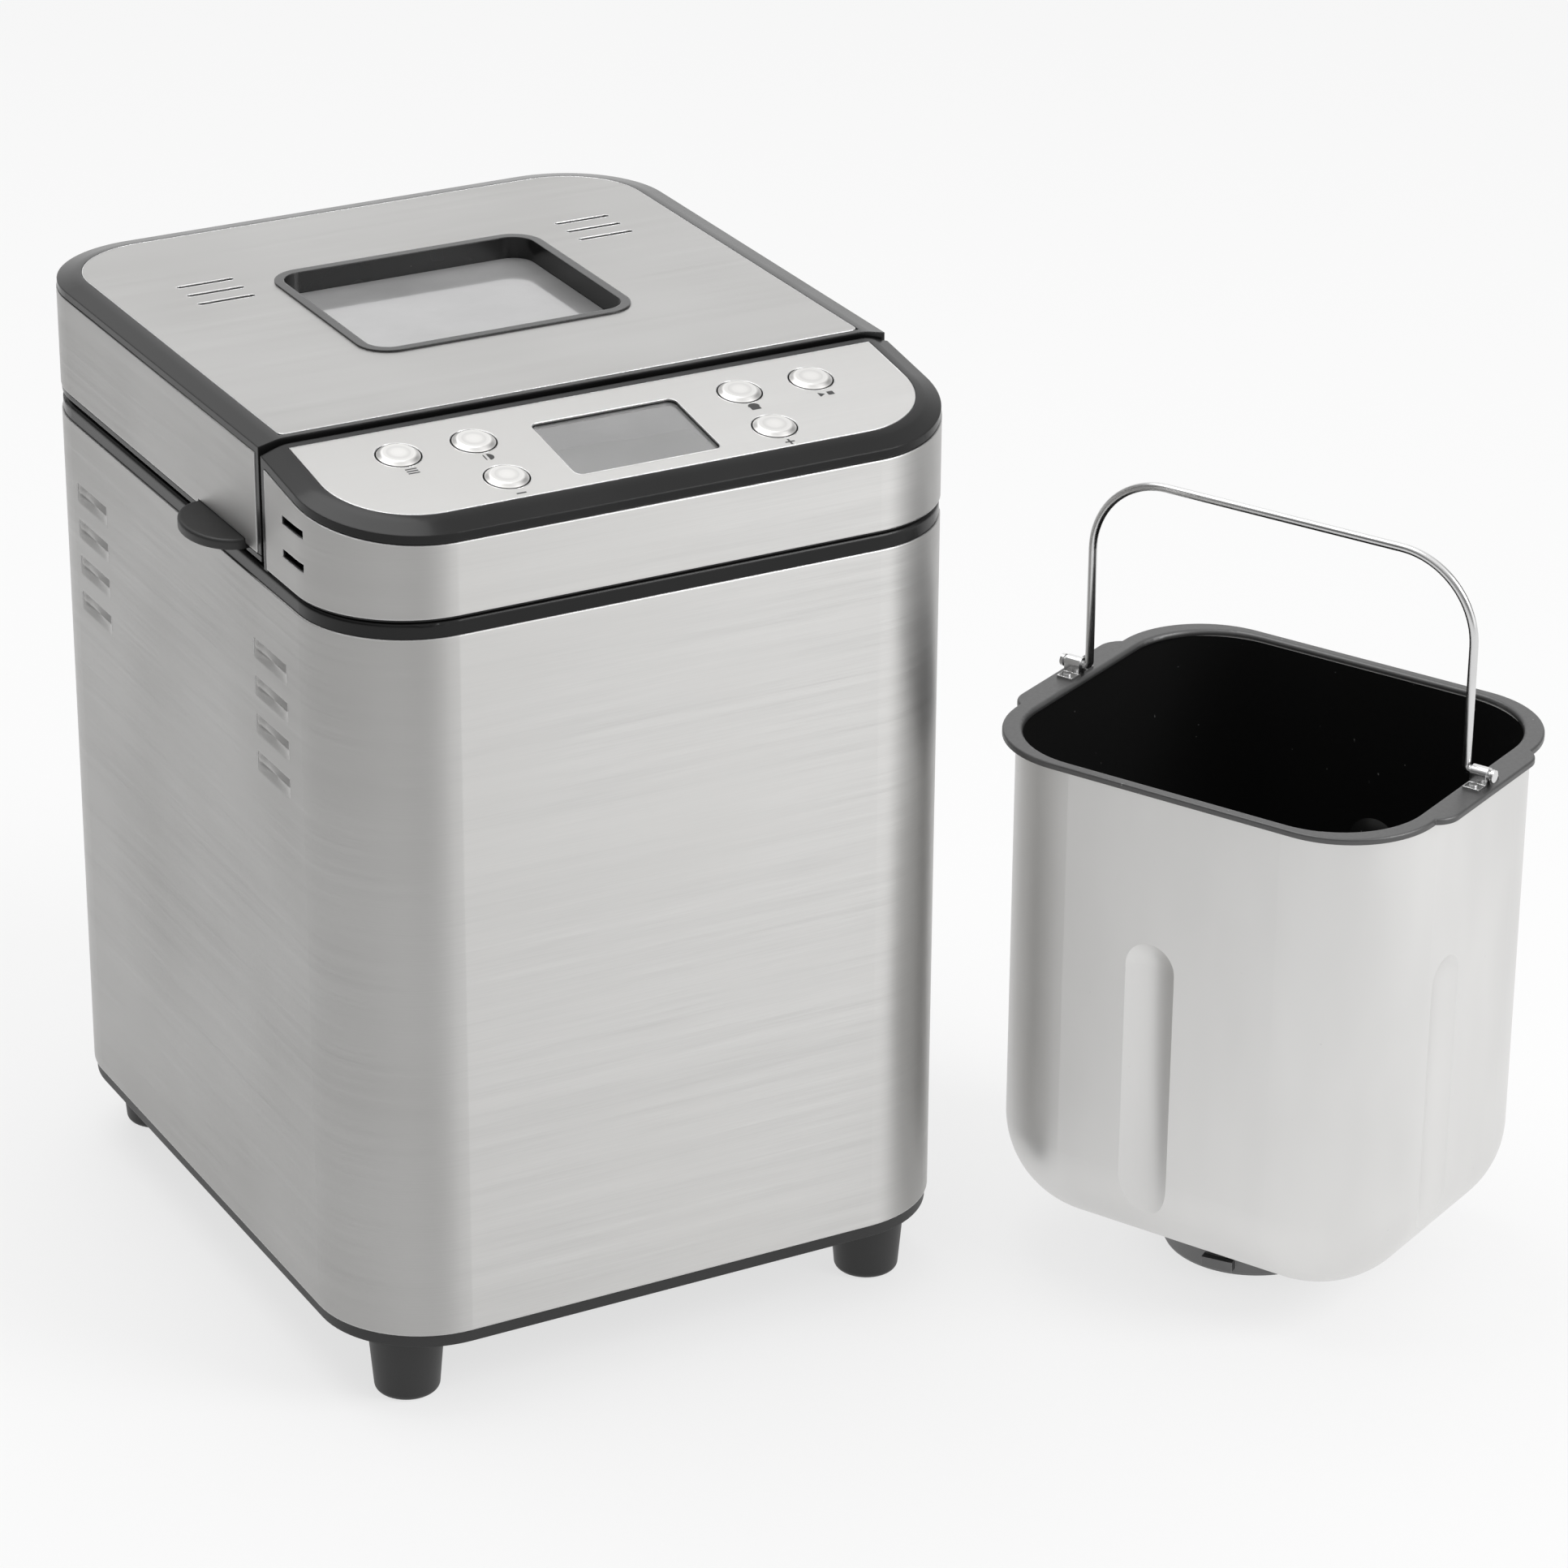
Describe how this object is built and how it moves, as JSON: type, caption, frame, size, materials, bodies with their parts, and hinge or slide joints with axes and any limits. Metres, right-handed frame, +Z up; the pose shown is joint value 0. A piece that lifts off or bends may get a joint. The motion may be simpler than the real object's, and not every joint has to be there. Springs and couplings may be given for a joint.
{
  "type": "bread machine",
  "caption": "Countertop bread machine with a hinged windowed lid, sloping button panel and belt drive, with its lift-out bread pan, bail handle and kneading paddle.",
  "frame": {"origin": "middle of the pair's footprint, machine and pan, on the surface they stand on", "axes": "+Z up, +X to the machine's right seen from its front, +Y towards its back; the pan stands to the right and in front"},
  "size_m": [0.4562, 0.4074, 0.3488],
  "materials": {
    "steel": "brushed",
    "panel_steel": "brushed satin",
    "black_gloss": "gloss",
    "black_matt": "matte",
    "fastener": "plated",
    "chamber_steel": "satin",
    "heater": "oxidised",
    "shaft_steel": "ground",
    "cast_aluminium": "cast",
    "bronze": "sintered",
    "pulley_plastic": "moulded",
    "belt_rubber": "matte",
    "motor_paint": "satin",
    "circuit_board": "solder mask",
    "inlet_plastic": "matte",
    "display_glass": "clear",
    "display": "grey display",
    "window_trim": "gloss",
    "window_glass": "clear",
    "gasket": "matte",
    "button_metal": "spun satin",
    "pan_aluminium": "satin",
    "pan_coating": "non-stick coating",
    "saddle_zinc": "zinc plated",
    "wire_steel": "polished wire"
  },
  "bodies": {
    "housing": {"base_tray": "black_matt", "foot_front_left": "black_matt", "foot_front_right": "black_matt", "foot_rear_left": "black_matt", "foot_rear_right": "black_matt", "body_wrap": "steel", "top_collar": "black_gloss", "chamber_liner": "chamber_steel", "heating_element": "heater", "temperature_sensor": "heater", "pan_socket": "chamber_steel", "chassis_plate": "chamber_steel", "bearing_housing": "cast_aluminium", "drive_bush": "bronze", "motor_bracket": "chamber_steel", "motor_case": "motor_paint", "drive_belt": "belt_rubber", "housing_screws": "fastener", "power_board": "circuit_board", "power_inlet": "inlet_plastic", "control_band": "steel", "control_housing": "black_gloss", "control_plate": "panel_steel", "lcd_window": "display_glass", "lcd_module": "display", "control_board": "circuit_board", "hinge_brackets": "shaft_steel", "hinge_pins": "shaft_steel"},
    "lid": {"lid_frame": "black_gloss", "lid_top_plate": "panel_steel", "lid_band": "steel", "lid_trim": "black_gloss", "lid_tab": "black_matt", "window_bezel": "window_trim", "window_glass": "window_glass", "lid_liner": "chamber_steel", "inner_glass": "window_glass", "lid_gasket": "gasket", "lid_screws": "fastener"},
    "menu_button": {"button_menu": "button_metal"},
    "color_button": {"button_color": "button_metal"},
    "minus_button": {"button_minus": "button_metal"},
    "loaf_button": {"button_loaf": "button_metal"},
    "start_stop_button": {"button_start_stop": "button_metal"},
    "plus_button": {"button_plus": "button_metal"},
    "drive": {"drive_shaft": "shaft_steel", "drive_dog": "cast_aluminium", "drive_pulley": "pulley_plastic"},
    "motor_rotor": {"motor_shaft": "shaft_steel", "motor_pulley": "pulley_plastic"},
    "pan": {"pan_shell": "pan_aluminium", "pan_rim": "pan_coating", "pan_base_ring": "cast_aluminium", "pan_bush": "bronze", "bail_saddles": "saddle_zinc", "saddle_rivets": "fastener"},
    "bail": {"bail": "wire_steel"},
    "pan_drive": {"pan_shaft": "shaft_steel", "wing_coupling": "cast_aluminium"},
    "paddle": {"kneading_paddle": "cast_aluminium"}
  },
  "joints": [
    {"name": "lid_hinge", "type": "hinge", "parent": "housing", "child": "lid", "pos_m": [-0.0941, 0.19917, 0.3055], "axis": [-1, 0, 0], "range_deg": [0, 95]},
    {"name": "menu_press", "type": "slide", "parent": "housing", "child": "menu_button", "axis": [0, 0.1532, -0.9882], "range_m": [0, 0.0012], "stiffness_N_per_m": 600, "springref_m": -0.0015},
    {"name": "color_press", "type": "slide", "parent": "housing", "child": "color_button", "axis": [0, 0.1532, -0.9882], "range_m": [0, 0.0012], "stiffness_N_per_m": 600, "springref_m": -0.0015},
    {"name": "minus_press", "type": "slide", "parent": "housing", "child": "minus_button", "axis": [0, 0.1532, -0.9882], "range_m": [0, 0.0012], "stiffness_N_per_m": 600, "springref_m": -0.0015},
    {"name": "loaf_press", "type": "slide", "parent": "housing", "child": "loaf_button", "axis": [0, 0.1532, -0.9882], "range_m": [0, 0.0012], "stiffness_N_per_m": 600, "springref_m": -0.0015},
    {"name": "start_stop_press", "type": "slide", "parent": "housing", "child": "start_stop_button", "axis": [0, 0.1532, -0.9882], "range_m": [0, 0.0012], "stiffness_N_per_m": 600, "springref_m": -0.0015},
    {"name": "plus_press", "type": "slide", "parent": "housing", "child": "plus_button", "axis": [0, 0.1532, -0.9882], "range_m": [0, 0.0012], "stiffness_N_per_m": 600, "springref_m": -0.0015},
    {"name": "drive_spin", "type": "hinge", "parent": "housing", "child": "drive", "pos_m": [-0.0941, 0.08317, 0.06], "axis": [0, 0, 1], "continuous": true},
    {"name": "motor_spin", "type": "hinge", "parent": "housing", "child": "motor_rotor", "pos_m": [-0.0421, -0.04683, 0.06], "axis": [0, 0, 1], "continuous": true},
    {"name": "pan_lift", "type": "slide", "parent": "housing", "child": "pan", "axis": [0, 0, 1], "range_m": [0, 0.25]},
    {"name": "bail_swing", "type": "hinge", "parent": "pan", "child": "bail", "pos_m": [0.1371, -0.10733, 0.211], "axis": [0.4555, -0.8902, 0], "range_deg": [-88, 88]},
    {"name": "pan_shaft_spin", "type": "hinge", "parent": "pan", "child": "pan_drive", "pos_m": [0.1371, -0.10733, 0.02], "axis": [0, 0, 1], "continuous": true},
    {"name": "paddle_lift", "type": "slide", "parent": "pan_drive", "child": "paddle", "axis": [0, 0, 1], "range_m": [0, 0.14]}
  ],
  "couplings": [
    {"joint": "motor_spin", "follows": "drive_spin", "ratio": 4.6667}
  ]
}
